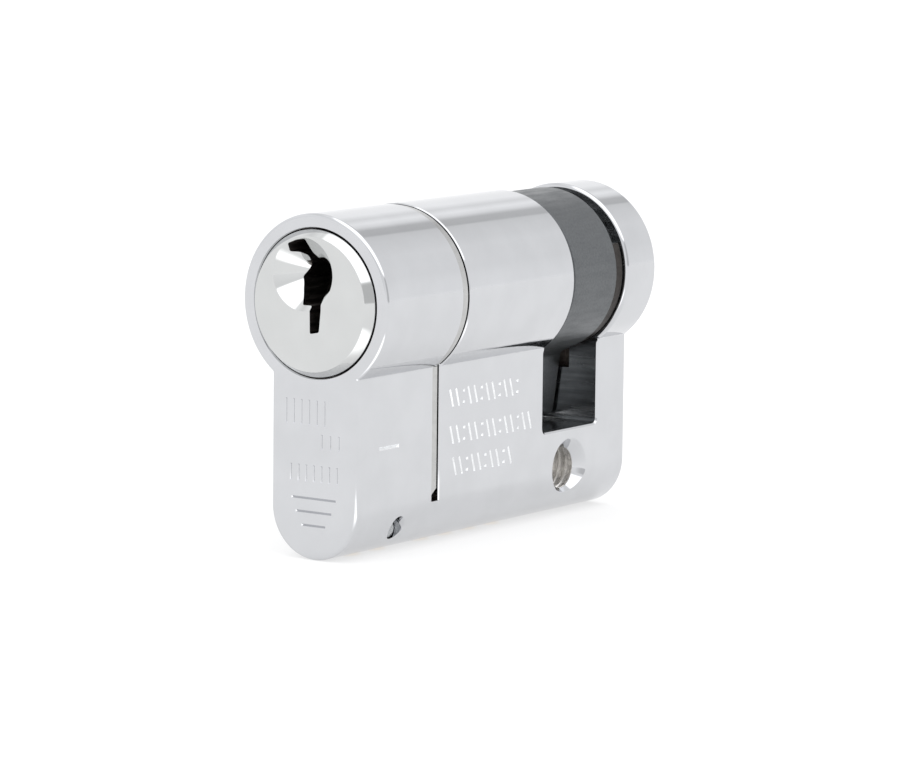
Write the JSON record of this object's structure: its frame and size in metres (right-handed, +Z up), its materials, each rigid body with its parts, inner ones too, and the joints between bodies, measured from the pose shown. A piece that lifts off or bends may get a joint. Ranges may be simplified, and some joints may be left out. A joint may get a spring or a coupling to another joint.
{
  "type": "euro profile half lock cylinder",
  "caption": "Euro-profile half lock cylinder: key plug, sprung pin stacks, snap line and a turning cam, fixed by one cross screw.",
  "frame": {"origin": "on the plug's axis, in the middle plane of the cam, straight above the fixing-screw hole", "axes": "+Y along the plug's axis towards the back (the key side faces -Y), +Z up towards the round head, +X to the right as seen from the key side"},
  "size_m": [0.017, 0.0469, 0.033],
  "materials": {
    "chrome_plate": "bright chrome plating on brass",
    "sintered_steel": "dark matt sintered steel",
    "hardened_steel": "ground hardened steel",
    "spring_steel": "bright drawn spring wire",
    "black_spring_steel": "phosphated spring steel",
    "brass": "turned brass"
  },
  "bodies": {
    "housing": {"cylinder_body": "chrome_plate", "rear_spindle": "hardened_steel", "body_anti_drill_pin_left": "hardened_steel", "body_anti_drill_pin_right": "hardened_steel", "foot_anti_drill_pin": "hardened_steel", "pin_spring_1": "spring_steel", "pin_spring_2": "spring_steel", "pin_spring_3": "spring_steel", "pin_spring_4": "spring_steel", "pin_spring_5": "spring_steel", "pin_spring_6": "spring_steel", "chamber_plug_1": "brass", "chamber_plug_2": "brass", "chamber_plug_3": "brass", "chamber_plug_4": "brass", "chamber_plug_5": "brass", "chamber_plug_6": "brass"},
    "plug": {"plug": "chrome_plate", "plug_circlip": "black_spring_steel", "cam_coupler": "hardened_steel", "plug_anti_drill_pin_upper": "hardened_steel", "plug_anti_drill_pin_lower": "hardened_steel"},
    "cam": {"cam": "sintered_steel"},
    "key_pin_1": {"key_pin_1": "brass"},
    "driver_pin_1": {"driver_pin_1": "hardened_steel"},
    "key_pin_2": {"key_pin_2": "brass"},
    "driver_pin_2": {"driver_pin_2": "hardened_steel"},
    "key_pin_3": {"key_pin_3": "brass"},
    "driver_pin_3": {"driver_pin_3": "hardened_steel"},
    "key_pin_4": {"key_pin_4": "brass"},
    "driver_pin_4": {"driver_pin_4": "hardened_steel"},
    "key_pin_5": {"key_pin_5": "brass"},
    "driver_pin_5": {"driver_pin_5": "hardened_steel"},
    "key_pin_6": {"key_pin_6": "brass"},
    "driver_pin_6": {"driver_pin_6": "hardened_steel"}
  },
  "joints": [
    {"name": "plug_spin", "type": "hinge", "parent": "housing", "child": "plug", "pos_m": [0, -0.018, 0], "axis": [0, 1, 0], "continuous": true},
    {"name": "cam_spin", "type": "hinge", "parent": "housing", "child": "cam", "pos_m": [0, 0, 0], "axis": [0, 1, 0], "continuous": true},
    {"name": "key_pin_1_lift", "type": "slide", "parent": "plug", "child": "key_pin_1", "axis": [0, 0, 1], "range_m": [0, 0.00305]},
    {"name": "driver_pin_1_press", "type": "slide", "parent": "housing", "child": "driver_pin_1", "axis": [0, 0, 1], "range_m": [-0.0025, 0], "stiffness_N_per_m": 100, "springref_m": 0.006, "deforming": ["pin_spring_1"]},
    {"name": "key_pin_2_lift", "type": "slide", "parent": "plug", "child": "key_pin_2", "axis": [0, 0, 1], "range_m": [0, 0.00215]},
    {"name": "driver_pin_2_press", "type": "slide", "parent": "housing", "child": "driver_pin_2", "axis": [0, 0, 1], "range_m": [-0.0025, 0], "stiffness_N_per_m": 100, "springref_m": 0.006, "deforming": ["pin_spring_2"]},
    {"name": "key_pin_3_lift", "type": "slide", "parent": "plug", "child": "key_pin_3", "axis": [0, 0, 1], "range_m": [0, 0.0035]},
    {"name": "driver_pin_3_press", "type": "slide", "parent": "housing", "child": "driver_pin_3", "axis": [0, 0, 1], "range_m": [-0.0025, 0], "stiffness_N_per_m": 100, "springref_m": 0.006, "deforming": ["pin_spring_3"]},
    {"name": "key_pin_4_lift", "type": "slide", "parent": "plug", "child": "key_pin_4", "axis": [0, 0, 1], "range_m": [0, 0.0026]},
    {"name": "driver_pin_4_press", "type": "slide", "parent": "housing", "child": "driver_pin_4", "axis": [0, 0, 1], "range_m": [-0.0025, 0], "stiffness_N_per_m": 100, "springref_m": 0.006, "deforming": ["pin_spring_4"]},
    {"name": "key_pin_5_lift", "type": "slide", "parent": "plug", "child": "key_pin_5", "axis": [0, 0, 1], "range_m": [0, 0.0017]},
    {"name": "driver_pin_5_press", "type": "slide", "parent": "housing", "child": "driver_pin_5", "axis": [0, 0, 1], "range_m": [-0.0025, 0], "stiffness_N_per_m": 100, "springref_m": 0.006, "deforming": ["pin_spring_5"]},
    {"name": "key_pin_6_lift", "type": "slide", "parent": "plug", "child": "key_pin_6", "axis": [0, 0, 1], "range_m": [0, 0.00305]},
    {"name": "driver_pin_6_press", "type": "slide", "parent": "housing", "child": "driver_pin_6", "axis": [0, 0, 1], "range_m": [-0.0025, 0], "stiffness_N_per_m": 100, "springref_m": 0.006, "deforming": ["pin_spring_6"]}
  ],
  "couplings": [
    {"joint": "cam_spin", "follows": "plug_spin", "ratio": 1}
  ]
}
